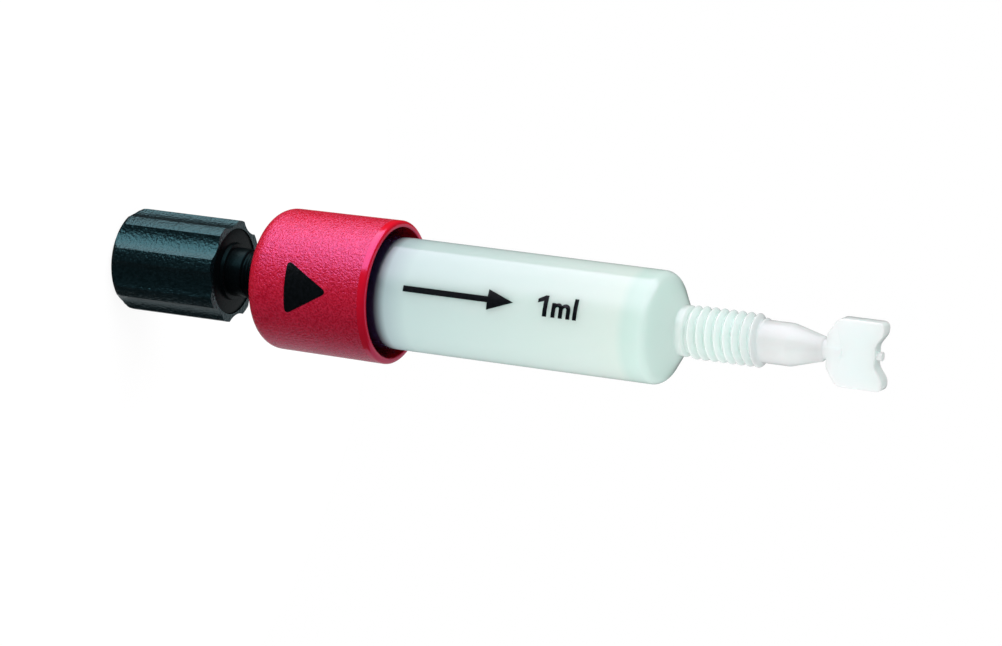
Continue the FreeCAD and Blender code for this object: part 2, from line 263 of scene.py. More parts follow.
def add(tree, kind, links=(), **settings):
    """Add a node, set its fields and input values, and link (input, output) pairs."""
    node = tree.nodes.new(kind)
    for field, value in settings.items():
        if field.startswith("in_"):
            key = field[3:]
            node.inputs[int(key) if key.isdigit() else key.replace("_", " ")].default_value = value
        else:
            setattr(node, field, value)
    for socket, source in links:
        tree.links.new(source, node.inputs[socket])
    return node


def dress(piece, material):
    """Give a piece one material in place of any it has."""
    piece.data.materials.clear()
    piece.data.materials.append(material)


def output(tree, shader):
    """Make a shader the surface of the material."""
    add(tree, "ShaderNodeOutputMaterial", links=[("Surface", shader.outputs[0])])


# %% [markdown]
# The barrel and its outlet are natural polypropylene, injection moulded. The
# plastic is milky: light enters, scatters and leaves somewhere else, which
# subsurface scattering does. The thick barrel looks nearly white, while the
# nozzle and the tab let a little of the white ground through, so they also
# transmit. The outlet scatters over a shorter way, because a long one would lose
# its light into the bore, where no lamp reaches.
# Just beyond the cap, the barrel's colour is painted dark: painted shade where
# the cap shades the wall. All of this depends on the height along the column only.

# %% Milky polypropylene
CLEAR_START = BARREL_INLET + 51.5
CLEAR_END = BARREL_INLET + 55.5
CLEARNESS = 0.22
TAB_MILKY_START = BARREL_INLET + 61.0
TAB_MILKY_END = BARREL_INLET + 62.6
TAB_SHARE = 0.4  # the tab has this share of the nozzle's clearness
SCATTER_MM = (3.0, 3.4, 3.3)  # how far red, green and blue light wander
THIN_START = BARREL_INLET + 44.0
THIN_END = BARREL_INLET + 48.0
THIN_SCATTER = 0.4  # on the outlet, this share of the way

# Heights and colours along the column: painted shade just past the cap, the bed,
# the solid floor after it, and the paler outlet and tab.
MILKY_TINTS_AND_CAP_SHADE = [
    # The first three stops are painted shade, darkest at the rim and lighter a few mm on.
    (CAP_RIM + 0.2, "#14142C"),
    (CAP_RIM + 1.5, "#AFC3C6"),
    (CAP_RIM + 4.0, "#C4D8D6"),
    (CAP_RIM + 25.0, "#D7E7E1"),
    (BED_END + 0.8, "#DAE9E2"),
    (BED_END + 1.8, "#CFE5DE"),
    (BARREL_INLET + 45.0, "#D6EAE4"),
    (BARREL_INLET + 46.5, "#DEECE7"),
    (BARREL_INLET + 52.0, "#E2F0EC"),
    (BARREL_INLET + 55.5, "#F2FFFA"),
    (BARREL_INLET + 60.5, "#F2FFFA"),
    (TAB_END, "#EDF6F3"),
]


def milky_polypropylene():
    """Milky plastic whose tint, clearness and scattering change along the column."""
    material, tree = new_material("milky_polypropylene")
    place = add(tree, "ShaderNodeTexCoord")
    parts = add(tree, "ShaderNodeSeparateXYZ", links=[("Vector", place.outputs["Object"])])
    height = parts.outputs["Z"]
    clear = add(tree, "ShaderNodeMapRange", links=[("Value", height)],
                in_From_Min=CLEAR_START * MM, in_From_Max=CLEAR_END * MM,
                in_To_Min=0.0, in_To_Max=CLEARNESS)
    tab_milk = add(tree, "ShaderNodeMapRange", links=[("Value", height)],
                   in_From_Min=TAB_MILKY_START * MM, in_From_Max=TAB_MILKY_END * MM,
                   in_To_Min=1.0, in_To_Max=TAB_SHARE)
    see_through = add(tree, "ShaderNodeMath", operation="MULTIPLY",
                      links=[(0, clear.outputs["Result"]), (1, tab_milk.outputs["Result"])])
    along = add(tree, "ShaderNodeMapRange", links=[("Value", height)],
                in_From_Min=CAP_RIM * MM, in_From_Max=TAB_END * MM)
    tints_and_shade = add(tree, "ShaderNodeValToRGB", links=[("Fac", along.outputs["Result"])])
    stops = tints_and_shade.color_ramp.elements
    while len(stops) < len(MILKY_TINTS_AND_CAP_SHADE):
        stops.new(0.5)
    for stop, (place_mm, swatch) in zip(stops, MILKY_TINTS_AND_CAP_SHADE):
        stop.position = (place_mm - CAP_RIM) / (TAB_END - CAP_RIM)
        stop.color = colour(swatch)
    # The scale turns the scatter's numbers into mm, and less than that on the outlet.
    reach = add(tree, "ShaderNodeMapRange", links=[("Value", height)],
                in_From_Min=THIN_START * MM, in_From_Max=THIN_END * MM,
                in_To_Min=MM, in_To_Max=THIN_SCATTER * MM)
    plastic = add(tree, "ShaderNodeBsdfPrincipled",
                  links=[("Base Color", tints_and_shade.outputs["Color"]),
                         ("Transmission Weight", see_through.outputs[0]),
                         ("Subsurface Scale", reach.outputs["Result"])],
                  in_Roughness=0.1, in_IOR=1.45, in_Subsurface_Weight=1.0)
    plastic.inputs["Subsurface Radius"].default_value = SCATTER_MM
    output(tree, plastic)
    return material


# %% [markdown]
# The cap is red polypropylene from a spark-eroded mould, so it has a fine,
# even grain that breaks up its highlight. Noise at the grain's real size drives a
# bump, lower than the grain is wide, and paints the colour: lighter on the peaks
# as painted glints, darker in the hollows as painted shade. The grip, the screw
# and the print share the function.

# %% Plastics with a spark-eroded grain
CAP_GRAIN_MM = 0.22
GRIP_GRAIN_MM = 0.3
HOLLOW, PEAK = 0.38, 0.62  # what noise value counts as a hollow, and as a peak


def grained_plastic(name, low, high, grain_mm, depth_mm, roughness, polished=None):
    """Moulded plastic with a fine grain, its colour painted lighter on the peaks as
    glints and darker in the hollows as shade. Polished gives a height above which
    the mould was smooth, so the grain stops there, and that band's deeper colour."""
    material, tree = new_material(name)
    place = add(tree, "ShaderNodeTexCoord")
    grain = add(tree, "ShaderNodeTexNoise", links=[("Vector", place.outputs["Object"])],
                in_Scale=1 / (grain_mm * MM), in_Detail=2.0, in_Roughness=0.6)
    # Painted glints and shade: the noise's peaks get the lighter colour, its hollows the darker.
    painted_glint_and_shade = add(tree, "ShaderNodeMapRange", links=[("Value", grain.outputs["Fac"])],
                in_From_Min=HOLLOW, in_From_Max=PEAK)
    shade = add(tree, "ShaderNodeMix", data_type="RGBA",
                links=[("Factor", painted_glint_and_shade.outputs["Result"])],
                in_6=colour(low), in_7=colour(high)).outputs[2]
    height = grain.outputs["Fac"]
    if polished:
        band_start, band_swatch = polished
        parts = add(tree, "ShaderNodeSeparateXYZ", links=[("Vector", place.outputs["Object"])])
        grained = add(tree, "ShaderNodeMath", operation="LESS_THAN",
                      links=[(0, parts.outputs["Z"])], in_1=band_start * MM).outputs[0]
        height = add(tree, "ShaderNodeMath", operation="MULTIPLY",
                     links=[(0, height), (1, grained)]).outputs[0]
        shade = add(tree, "ShaderNodeMix", data_type="RGBA",
                    links=[("Factor", grained), (7, shade)],
                    in_6=colour(band_swatch)).outputs[2]
    bump = add(tree, "ShaderNodeBump", links=[("Height", height)],
               in_Strength=1.0, in_Distance=depth_mm * MM)
    plastic = add(tree, "ShaderNodeBsdfPrincipled",
                  links=[("Base Color", shade), ("Normal", bump.outputs["Normal"])],
                  in_Roughness=roughness, in_IOR=1.49)
    output(tree, plastic)
    return material, plastic


# %% [markdown]
# The inner pieces need only a faint unevenness, so one function makes them all: a
# noise varies the colour and the roughness a little, as on any moulded, pressed
# or settled surface.

# %% Plain finishes with a slight unevenness
def plain_finish(name, light_swatch, dark_swatch, patch_mm, roughness):
    """A dull solid whose colour and roughness vary a little from patch to patch."""
    material, tree = new_material(name)
    place = add(tree, "ShaderNodeTexCoord")
    patches = add(tree, "ShaderNodeTexNoise", links=[("Vector", place.outputs["Object"])],
                  in_Scale=1 / (patch_mm * MM), in_Detail=3.0)
    shade = add(tree, "ShaderNodeMix", data_type="RGBA",
                links=[("Factor", patches.outputs["Fac"])],
                in_6=colour(dark_swatch), in_7=colour(light_swatch))
    gloss = add(tree, "ShaderNodeMapRange", links=[("Value", patches.outputs["Fac"])],
                in_To_Min=roughness - 0.05, in_To_Max=roughness + 0.05)
    solid = add(tree, "ShaderNodeBsdfPrincipled",
                links=[("Base Color", shade.outputs[2]), ("Roughness", gloss.outputs["Result"])])
    output(tree, solid)
    return material


# %% [markdown]
# Now each finish is made once. The strength and tint of a reflection are the same
# all over a piece, so they are set on the shader's own sockets, and not through a
# node. They start from plain values and are then matched to the photograph.

# %% The finishes of this column
RIM_BAND = 0.85  # length of the polished band at the cap's rim

milky = milky_polypropylene()
# Red polypropylene, moulded: an even red whose grain turns the shine to a haze.
# Its sheen is slightly violet in the photograph.
red, red_shader = grained_plastic(
    "red_polypropylene", "#AC041C", "#CA243C", CAP_GRAIN_MM, 0.12, 0.17,
    (CAP_RIM - RIM_BAND, "#C4061C"))
red_shader.inputs["IOR"].default_value = 1.58
red_shader.inputs["Specular IOR Level"].default_value = 1.0
red_shader.inputs["Specular Tint"].default_value = colour("#FF9CFF")
# Glass-filled black nylon, moulded: a faint grain and a clear, blue-green sheen.
grip_black, grip_shader = grained_plastic(
    "black_grip_plastic", "#03080A", "#0C171B", GRIP_GRAIN_MM, 0.09, 0.22)
grip_shader.inputs["Specular IOR Level"].default_value = 0.85
grip_shader.inputs["Specular Tint"].default_value = colour("#90ECFF")
# The grip's black plastic, painted darker and with weak, soft lights:
# painted shade in the gap between the grip and the cap.
shaded_screw_black, shaded_screw_shader = grained_plastic(
    "black_screw_plastic", "#030607", "#06090B", GRIP_GRAIN_MM, 0.02, 0.35)
shaded_screw_shader.inputs["Specular IOR Level"].default_value = 0.12
shaded_screw_shader.inputs["Specular Tint"].default_value = colour("#90ECFF")
# Pad-printing ink: a thin matt black coat with a little of the tooth of its ground.
print_black, print_shader = grained_plastic(
    "pad_print", "#04080A", "#0A0E12", GRIP_GRAIN_MM, 0.05, 0.3)
print_shader.inputs["Specular IOR Level"].default_value = 0.15
# Polyethylene beads sintered to a porous disc: chalky white, with no shine.
white_frit = plain_finish("sintered_polyethylene", "#F4F4F0", "#E4E4DE", 0.2, 0.8)
# Wet agarose beads, settled: an off-white mass.
gel = plain_finish("agarose_bed", "#F2F2EC", "#E6E6DF", 0.1, 0.7)
# Black polypropylene, moulded: it shows as a dark ring inside the cap.
dark_plug = plain_finish("dark_polypropylene", "#101116", "#08080C", 1.0, 0.5)
# Moulded rubber: black and dull.
rubber = plain_finish("ring_rubber", "#141414", "#0A0A0A", 0.4, 0.6)
finishes = (milky, red, grip_black, shaded_screw_black, print_black, white_frit, gel, dark_plug, rubber)
print("finishes:", [finish.name for finish in finishes])

# %% [markdown]
# The cap is a sleeve with a closed end. Its outside widens slightly to the rim,
# the closed end is well rounded, and the rim has a small bevel on both sides of
# a flat ring. The hole in the closed end lets the stem through.

# %% The red cap
CAP_TAPER = 0.14
CAP_FACE_RADIUS = CAP_RIM_RADIUS - CAP_TAPER
CAP_BORE_RADIUS = 7.03
CAP_END_WALL = 1.5
CAP_HOLE_RADIUS = 3.1
CAP_EDGE_ROUND = 2.0
CAP_RIM_ROUND = 0.4
CAP_LIP_ROUND = 0.12
CAP_INNER_ROUND = 0.8

cap = turned("cap_sleeve", [
    (CAP_HOLE_RADIUS, CAP_FACE),
    (CAP_FACE_RADIUS, CAP_FACE),
    (CAP_RIM_RADIUS, CAP_RIM),
    (CAP_BORE_RADIUS, CAP_RIM),
    (CAP_BORE_RADIUS, CAP_FACE + CAP_END_WALL),
    (CAP_HOLE_RADIUS, CAP_FACE + CAP_END_WALL),
], closed=True)
bevel_rings(cap, [(CAP_FACE_RADIUS, CAP_FACE)], CAP_EDGE_ROUND, segments=10)
bevel_rings(cap, [(CAP_RIM_RADIUS, CAP_RIM)], CAP_RIM_ROUND, segments=5)
bevel_rings(cap, [(CAP_BORE_RADIUS, CAP_RIM), (CAP_HOLE_RADIUS, CAP_FACE)], CAP_LIP_ROUND)
bevel_rings(cap, [(CAP_BORE_RADIUS, CAP_FACE + CAP_END_WALL)], CAP_INNER_ROUND)
smooth(cap)
dress(cap, red)
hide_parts("top_cap")
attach(cap, "column")
print("cap faces:", len(cap.data.polygons))

# %% [markdown]
# The grip is a prism with eight shallow round flutes. Its outline is a formula:
# each point of a circle is drawn in to the flute's arc where a flute lies, and one
# point always lies on the edge between flute and land, so that edge is crisp. The
# round rings come first, with the far end rounded in steps, and then the flutes.
# The rings form a closed chain, so a narrow hole is left in the middle of the end
# that the column stands on.

# %% The fluted grip
FLUTES = 8
FLUTE_DEPTH = 0.57
FLUTE_RADIUS = 3.1
GRIP_END_ROUND = 1.1
DISC_RADIUS = 9.3 / 2
DISC_FACE = GRIP_FACE - 0.1
DISC_BACK = DISC_FACE - 1.6
HUB_RADIUS = 3.0
HUB_END = DISC_BACK - 7.5
SEAT_GAP = 0.03
END_HOLE_RADIUS = 0.4
FLUTE_CENTRE = GRIP_RADIUS - FLUTE_DEPTH + FLUTE_RADIUS


def fluted_radius(turn):
    """Distance from the axis to the grip's side at an angle from a flute's middle."""
    pitch = math.tau / FLUTES
    off = (turn + pitch / 2) % pitch - pitch / 2
    side = FLUTE_CENTRE * math.sin(off)
    if abs(side) >= FLUTE_RADIUS:
        return GRIP_RADIUS
    arc = FLUTE_CENTRE * math.cos(off) - math.sqrt(FLUTE_RADIUS ** 2 - side ** 2)
    return min(GRIP_RADIUS, arc)


def flute_edge():
    """Angle from a flute's middle to its edge, where its arc meets the land."""
    cosine = ((FLUTE_CENTRE ** 2 + GRIP_RADIUS ** 2 - FLUTE_RADIUS ** 2)
              / (2 * FLUTE_CENTRE * GRIP_RADIUS))
    return math.acos(cosine)


def grip_angles(steps_flute=10, steps_land=4):
    """Angles round the grip, with one exactly on each edge between flute and land."""
    edge = flute_edge()
    pitch = math.tau / FLUTES
    angles = []
    for flute in range(FLUTES):
        middle = flute * pitch
        angles += [middle - edge + 2 * edge * i / steps_flute for i in range(steps_flute)]
        land = pitch - 2 * edge
        angles += [middle + edge + land * i / steps_land for i in range(steps_land)]
    return angles


def end_round(side, end, radius, steps=6):
    """Rings of a quarter round between a side and an end face below it."""
    turns = [math.pi / 2 * i / steps for i in range(steps + 1)]
    return [(side - radius * (1 - math.cos(t)), end + radius * (1 - math.sin(t))) for t in turns]


def round_grip():
    """The grip before its flutes, and the angles that its corners will have."""
    angles = grip_angles()
    piece = turned("grip", [
        (DISC_RADIUS + SEAT_GAP, GRIP_FACE),
        (GRIP_RADIUS, GRIP_FACE),
        *end_round(GRIP_RADIUS, GRIP_END, GRIP_END_ROUND),
        (END_HOLE_RADIUS, GRIP_END),
        (END_HOLE_RADIUS, HUB_END - SEAT_GAP),
        (HUB_RADIUS + SEAT_GAP, HUB_END - SEAT_GAP),
        (HUB_RADIUS + SEAT_GAP, DISC_BACK),
        (DISC_RADIUS + SEAT_GAP, DISC_BACK),
    ], corners=len(angles), closed=True)
    return piece, angles


def lay_flutes(piece, angles):
    """Turn every point to its own angle and draw the outer ones in to the flutes. The
    circle's first corner lay on the Y axis, a quarter turn from the X axis."""
    count = len(angles)
    for vertex in piece.data.vertices:
        x, y, z = vertex.co / MM
        radius = math.hypot(x, y)
        index = round((math.atan2(y, x) / math.tau - 0.25) * count) % count
        turn = angles[index]
        if radius > DISC_RADIUS + 0.1 or z < GRIP_END + 0.01:
            radius = min(radius, fluted_radius(turn))
        vertex.co.x = -radius * math.cos(turn + FLUTE_TURN) * MM
        vertex.co.y = -radius * math.sin(turn + FLUTE_TURN) * MM


grip, angles = round_grip()
lay_flutes(grip, angles)
smooth(grip, 12)
dress(grip, grip_black)
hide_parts("stopper_grip")
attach(grip, "stopper")
print("grip faces:", len(grip.data.polygons))

# %% [markdown]
# The screw is turned too: a disc that sits in the grip's face, a small ring, a
# smooth shank, and the threaded stem. The stem's wall has fine rows, and the
# thread is raised by pushing each row's points out along a helix with a pitch of
# 1 mm, which is also how far the stopper travels in a turn.

# %% The stopper's screw
PITCH = 1.0
ROW = 0.08  # height of a row of faces in a threaded wall
STEM_RING_RADIUS = 3.15
STEM_RING_HEIGHT = 0.35
SHANK_RADIUS = 2.65
STEM_CORE = 2.32
STEM_CREST = 2.86
STEM_TIP = heights("stopper_screw")[1]
STEM_TIP_RADIUS = 0.8
STEM_THREAD_START = DISC_FACE + 2.1
STEM_THREAD_END = STEM_TIP - 1.4
STEM_CREST_AT = STEM_THREAD_START + 0.5
STEM_RUN_OUT = 0.35

screw_rings = [
    (HUB_RADIUS, HUB_END),
    (HUB_RADIUS, DISC_BACK),
    (DISC_RADIUS, DISC_BACK),
    (DISC_RADIUS, DISC_FACE),
    (STEM_RING_RADIUS, DISC_FACE),
    (STEM_RING_RADIUS - 0.1, DISC_FACE + STEM_RING_HEIGHT),
    (SHANK_RADIUS, DISC_FACE + STEM_RING_HEIGHT + 0.05),
    (SHANK_RADIUS, STEM_THREAD_START),
]
screw_rings += [(STEM_CORE, z) for z in evenly(STEM_THREAD_START + 0.15, STEM_THREAD_END, ROW)]
screw_rings += [(STEM_TIP_RADIUS, STEM_TIP)]
screw = turned("screw", screw_rings, corners=96)
bevel_rings(screw, [(DISC_RADIUS, DISC_FACE)], 0.08, segments=2)
bevel_rings(screw, [(SHANK_RADIUS, STEM_THREAD_START)], 0.12)
cut_thread(screw, STEM_THREAD_START + 0.1, STEM_THREAD_END, STEM_CORE, STEM_CREST, PITCH,
           STEM_CREST_AT, STEM_RUN_OUT)
smooth(screw, 40)
dress(screw, shaded_screw_black)
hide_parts("stopper_screw")
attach(screw, "stopper")
print("screw faces:", len(screw.data.polygons))

# %% [markdown]
# The barrel, the outlet and the tab are one moulding. Its turned part is one
# chain of rings: it starts in the blind end of the channel, runs back inside
# along the bore, turns round the inlet's edge, and comes forward outside to the
# thin runner in the middle of the tab. Fine rows on the outlet carry its thread.

# %% The barrel, turned part
HEAD_RADIUS = 7.0
HEAD_LENGTH = 9.0
HEAD_FLARE = 0.4
BORE_RADIUS = 3.5
OUTLET_ROOT = BARREL_INLET + 45.5
SHOULDER_LENGTH = 2.1
COLLAR_RADIUS = 2.7
COLLAR_END = OUTLET_ROOT + 0.75
THREAD_ROOT = 2.25
THREAD_CREST = 2.82
THREAD_START = OUTLET_ROOT + 0.95
THREAD_END = OUTLET_ROOT + 9.4
THREAD_CREST_AT = BARREL_INLET + 46.4
THREAD_RUN_OUT = 0.5
NOZZLE_END = OUTLET_ROOT + 12.3
CONE_END = NOZZLE_END + 3.45
CONE_TIP_RADIUS = 1.33
NECK_RADIUS = 1.1
TAB_START = CONE_END + 0.6
BOSS_END = TAB_START + 1.7
RUNNER_RADIUS = 0.47
OUTLET_BORE = 1.05
OUTLET_BORE_END = OUTLET_ROOT + 11.0
OUTLET_BORE_ROUND = 0.5
CHANNEL_RADIUS = 0.4
CHANNEL_END = CONE_END + 0.3
BORE_FLOOR = OUTLET_ROOT - 4.5
FUNNEL_DEPTH = 0.7
SHOULDER_ROUND = 0.66
COLLAR_ROUND = 0.15
SMALL_ROUND = 0.12

barrel_rings = [
    (CHANNEL_RADIUS, CHANNEL_END),
    (CHANNEL_RADIUS, OUTLET_BORE_END),
    (OUTLET_BORE - OUTLET_BORE_ROUND, OUTLET_BORE_END),
    (OUTLET_BORE - 0.3 * OUTLET_BORE_ROUND, OUTLET_BORE_END - 0.3 * OUTLET_BORE_ROUND),
    (OUTLET_BORE, OUTLET_BORE_END - OUTLET_BORE_ROUND),
    (OUTLET_BORE, BORE_FLOOR + FUNNEL_DEPTH),
    (BORE_RADIUS, BORE_FLOOR),
    (BORE_RADIUS, BARREL_INLET),
    (HEAD_RADIUS, BARREL_INLET),
    (HEAD_RADIUS, BARREL_INLET + HEAD_LENGTH),
    (BARREL_RADIUS + HEAD_FLARE, BARREL_INLET + HEAD_LENGTH),
    (BARREL_RADIUS, CAP_RIM),
    (BARREL_RADIUS, OUTLET_ROOT - SHOULDER_LENGTH),
    (COLLAR_RADIUS, OUTLET_ROOT),
    (COLLAR_RADIUS, COLLAR_END),
]
barrel_rings += [(THREAD_ROOT, z) for z in evenly(THREAD_START, THREAD_END, ROW)]
barrel_rings += [
    (THREAD_ROOT, NOZZLE_END),
    (CONE_TIP_RADIUS, CONE_END),
    (NECK_RADIUS, CONE_END + 0.2),
    (NECK_RADIUS, BOSS_END),
    (RUNNER_RADIUS, BOSS_END + 0.6),
    (RUNNER_RADIUS, TAB_END - 0.3),
]
barrel = turned("barrel_shell", barrel_rings, corners=96)
bevel_rings(barrel, [(BARREL_RADIUS, OUTLET_ROOT - SHOULDER_LENGTH)], SHOULDER_ROUND, 6)
bevel_rings(barrel, [(COLLAR_RADIUS, OUTLET_ROOT)], COLLAR_ROUND)
bevel_rings(barrel, [(COLLAR_RADIUS, COLLAR_END), (THREAD_ROOT, NOZZLE_END)], SMALL_ROUND)
cut_thread(barrel, THREAD_START, THREAD_END, THREAD_ROOT, THREAD_CREST, PITCH,
           THREAD_CREST_AT, THREAD_RUN_OUT)
print("barrel rings:", len(barrel_rings), "faces:", len(barrel.data.polygons))

# %% [markdown]
# The tab is twisted off before use, so it is a flat plate with a notched end and
# sloped roots. A filled circle with as many corners as the outline has is the
# start; its corners are moved to the outline's, and the face is extruded to the
# plate's thickness. Rounded corners and a fine bevel on the rim come next, and a
# union joins the plate to the turned part, as one shot of plastic.

# %% The snap-off tab
TAB_HALF = 3.6
TAB_ROOT_HALF = 1.75
TAB_SLOPE = 1.2
TAB_THICKNESS = 1.9
TAB_CORNER_ROUND = 0.6
TAB_EDGE_ROUND = 0.2
NOTCH_DEPTH = 0.9
NOTCH_HALF = 1.1
NOTCH_MOUTH = 2.4
NOTCH_ROUND = 0.3


def flat_face(name, outline):
    """A filled face with the outline's corners (x, z) in mm, in the plane y = 0."""
    deselect_all()
    bpy.ops.mesh.primitive_circle_add(
        vertices=len(outline), radius=MM, fill_type="NGON", rotation=(math.pi / 2, 0, 0))
    piece = bpy.context.object
    piece.name = name
    bpy.ops.object.transform_apply(location=True, rotation=True, scale=True)
    for vertex, (x, z) in zip(piece.data.vertices, outline):
        vertex.co = (x * MM, 0, z * MM)
    return piece


def crosses(a, b):
    """True for an edge that runs from one flat side of the plate to the other."""
    return abs(a.y - b.y) > TAB_THICKNESS * 0.9


def snap_off_tab():
    """The plate, with its upright corners rounded first and then its whole rim."""
    half = [
        (TAB_ROOT_HALF, TAB_START),
        (TAB_HALF, TAB_START + TAB_SLOPE),
        (TAB_HALF, TAB_END),
        (NOTCH_MOUTH, TAB_END),
        (NOTCH_HALF, TAB_END - NOTCH_DEPTH),
    ]
    plate = flat_face("tab_plate", half + [(-x, z) for x, z in reversed(half)])
    make_active(plate)
    bpy.ops.object.mode_set(mode="EDIT")
    bpy.ops.mesh.select_all(action="SELECT")
    bpy.ops.transform.translate(value=(0, -TAB_THICKNESS / 2 * MM, 0))
    bpy.ops.mesh.extrude_region_move(
        TRANSFORM_OT_translate={"value": (0, TAB_THICKNESS * MM, 0)})
    bpy.ops.object.mode_set(mode="OBJECT")
    bevel_edges(plate, lambda a, b: crosses(a, b) and abs(a.x) > TAB_HALF - 0.1,
                TAB_CORNER_ROUND, 6)
    bevel_edges(plate, lambda a, b: crosses(a, b) and abs(a.x) < NOTCH_MOUTH + 0.1,
                NOTCH_ROUND, 4)
    bevel_edges(plate, lambda a, b: abs(a.y - b.y) < 0.01, TAB_EDGE_ROUND, 3)
    bpy.ops.object.mode_set(mode="EDIT")
    bpy.ops.mesh.select_all(action="SELECT")
    bpy.ops.mesh.normals_make_consistent(inside=False)
    bpy.ops.object.mode_set(mode="OBJECT")
    return plate


def join(piece, tool):
    """Unite a piece with a tool, which is then removed."""
    make_active(piece)
    union = piece.modifiers.new("union", "BOOLEAN")
    union.operation = "UNION"
    union.solver = "EXACT"
    union.object = tool
    bpy.ops.object.modifier_apply(modifier=union.name)
    bpy.data.objects.remove(tool, do_unlink=True)


tab = snap_off_tab()
print("tab faces:", len(tab.data.polygons))
join(barrel, tab)
smooth(barrel, 35)
dress(barrel, milky)
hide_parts("barrel")
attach(barrel, "column")
print("barrel with tab, faces:", len(barrel.data.polygons))

# %% [markdown]
# The inlet adaptor closes the barrel under the cap. Its flange lies on the
# barrel's end, its plug fills the bore down to the packing, and the stopper's
# stem runs in its threaded port. Little of it shows, so its thread is a plain
# wall that clears the stem's crests.

# %% The inlet adaptor
PORT_RADIUS = STEM_CREST + 0.06
PORT_FLOOR = STEM_TIP + 0.05
FLANGE_RADIUS = 6.2
PLUG_RADIUS = BORE_RADIUS - SEAT_GAP
PLUG_CHAMFER = 0.3

adaptor = turned("adaptor", [
    (PORT_RADIUS, PLUG_START),
    (FLANGE_RADIUS, PLUG_START),
    (FLANGE_RADIUS, BARREL_INLET),
    (PLUG_RADIUS, BARREL_INLET),
    (PLUG_RADIUS, PLUG_END - PLUG_CHAMFER),
    (PLUG_RADIUS - PLUG_CHAMFER, PLUG_END),
    (CHANNEL_RADIUS, PLUG_END),
    (CHANNEL_RADIUS, PORT_FLOOR),
    (STEM_TIP_RADIUS, PORT_FLOOR),
    (PORT_RADIUS, STEM_THREAD_END + 0.3),
], corners=64, closed=True)
bevel_rings(adaptor, [(FLANGE_RADIUS, PLUG_START), (PORT_RADIUS, PLUG_START)], 0.15)
smooth(adaptor)
dress(adaptor, dark_plug)
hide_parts("inlet_adaptor")
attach(adaptor, "column")
print("adaptor faces:", len(adaptor.data.polygons))

# %% [markdown]
# The frits, the gel bed and the sealing ring keep their CAD meshes. Only their
# slots get a finish: a sintered white plastic, a wet gel and a black rubber.

# %% Finishes of the inner pieces
for node, finish in (("bottom_frit", white_frit), ("top_frit", white_frit),
                     ("packed_bed", gel), ("sealing_ring", rubber)):
    for slot in frame["nodes"][node].material_slots:
        slot.material = finish
    print(node, "wears", finish.name)

# %% [markdown]
# Ink is printed on the barrel by a pad, so a mark follows the wall and has almost
# no thickness. A flat mark is cut into narrow strips, because a face can only
# bend where it has edges, and then each of its points is laid round the wall. A
# thin solidify gives the ink its body.

# %% Helpers for the print
INK = 0.02
READING_SIDE = math.radians(270) - ROLL  # where round the wall the front is


def lay_on_wall(piece, start, roll, wall, strip=0.2):
    """Wrap a flat mark round the column: its x runs along the axis from the start
    height and its z runs round the wall, rolled in degrees from the reading side.
    The wall is a function that gives the radius at a height."""
    rows = [v.co.z / MM for v in piece.data.vertices]
    make_active(piece)
    bpy.ops.object.mode_set(mode="EDIT")
    for cut in evenly(min(rows), max(rows), strip)[1:-1]:
        bpy.ops.mesh.select_all(action="SELECT")
        bpy.ops.mesh.bisect(plane_co=(0, 0, cut * MM), plane_no=(0, 0, 1))
    bpy.ops.object.mode_set(mode="OBJECT")
    for vertex in piece.data.vertices:
        along, across = vertex.co.x / MM, vertex.co.z / MM
        height = start + along
        radius = wall(height) + INK / 2
        turn = READING_SIDE - math.radians(roll) - across / radius
        vertex.co = (radius * math.cos(turn) * MM, radius * math.sin(turn) * MM, height * MM)
    coat = piece.modifiers.new("ink", "SOLIDIFY")
    coat.thickness = INK * MM
    coat.offset = 1
    bpy.ops.object.modifier_apply(modifier=coat.name)
    bpy.ops.object.mode_set(mode="EDIT")
    bpy.ops.mesh.select_all(action="SELECT")
    bpy.ops.mesh.normals_make_consistent(inside=False)
    bpy.ops.object.mode_set(mode="OBJECT")
    dress(piece, print_black)
    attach(piece, "column")
    print(piece.name, "faces:", len(piece.data.polygons))


def barrel_wall(height):
    """The same radius at every height."""
    return BARREL_RADIUS


def cap_wall(height):
    """The radius of the tapered cap at a height."""
    return CAP_FACE_RADIUS + CAP_TAPER * (height - CAP_FACE) / (CAP_RIM - CAP_FACE)


# %% [markdown]
# A flow arrow and the volume are what such a column carries anyway. The arrow is
# one outline. The letters come from Blender's built-in font, and the figure is
# drawn to match them.

# %% The flow arrow on the barrel
ARROW_START = CAP_RIM + 3.6
ARROW_LENGTH = 12.9
ARROW_HEAD = 3.0
ARROW_HALF = 1.1
ARROW_SHAFT = 0.32
ARROW_ROLL = 5.0

arrow = flat_face("flow_arrow", [
    (0, -ARROW_SHAFT),
    (ARROW_LENGTH - ARROW_HEAD, -ARROW_SHAFT),
    (ARROW_LENGTH - ARROW_HEAD, -ARROW_HALF),
    (ARROW_LENGTH, 0),
    (ARROW_LENGTH - ARROW_HEAD, ARROW_HALF),
    (ARROW_LENGTH - ARROW_HEAD, ARROW_SHAFT),
    (0, ARROW_SHAFT),
])
lay_on_wall(arrow, ARROW_START, ARROW_ROLL, barrel_wall)

# %% The volume on the barrel
VOLUME_START = CAP_RIM + 19.3
VOLUME_ROLL = 6.0
FIGURE_HEIGHT = 2.25
FIGURE_LENGTH = 1.15
STROKE = 0.48
UNIT_GAP = 0.5


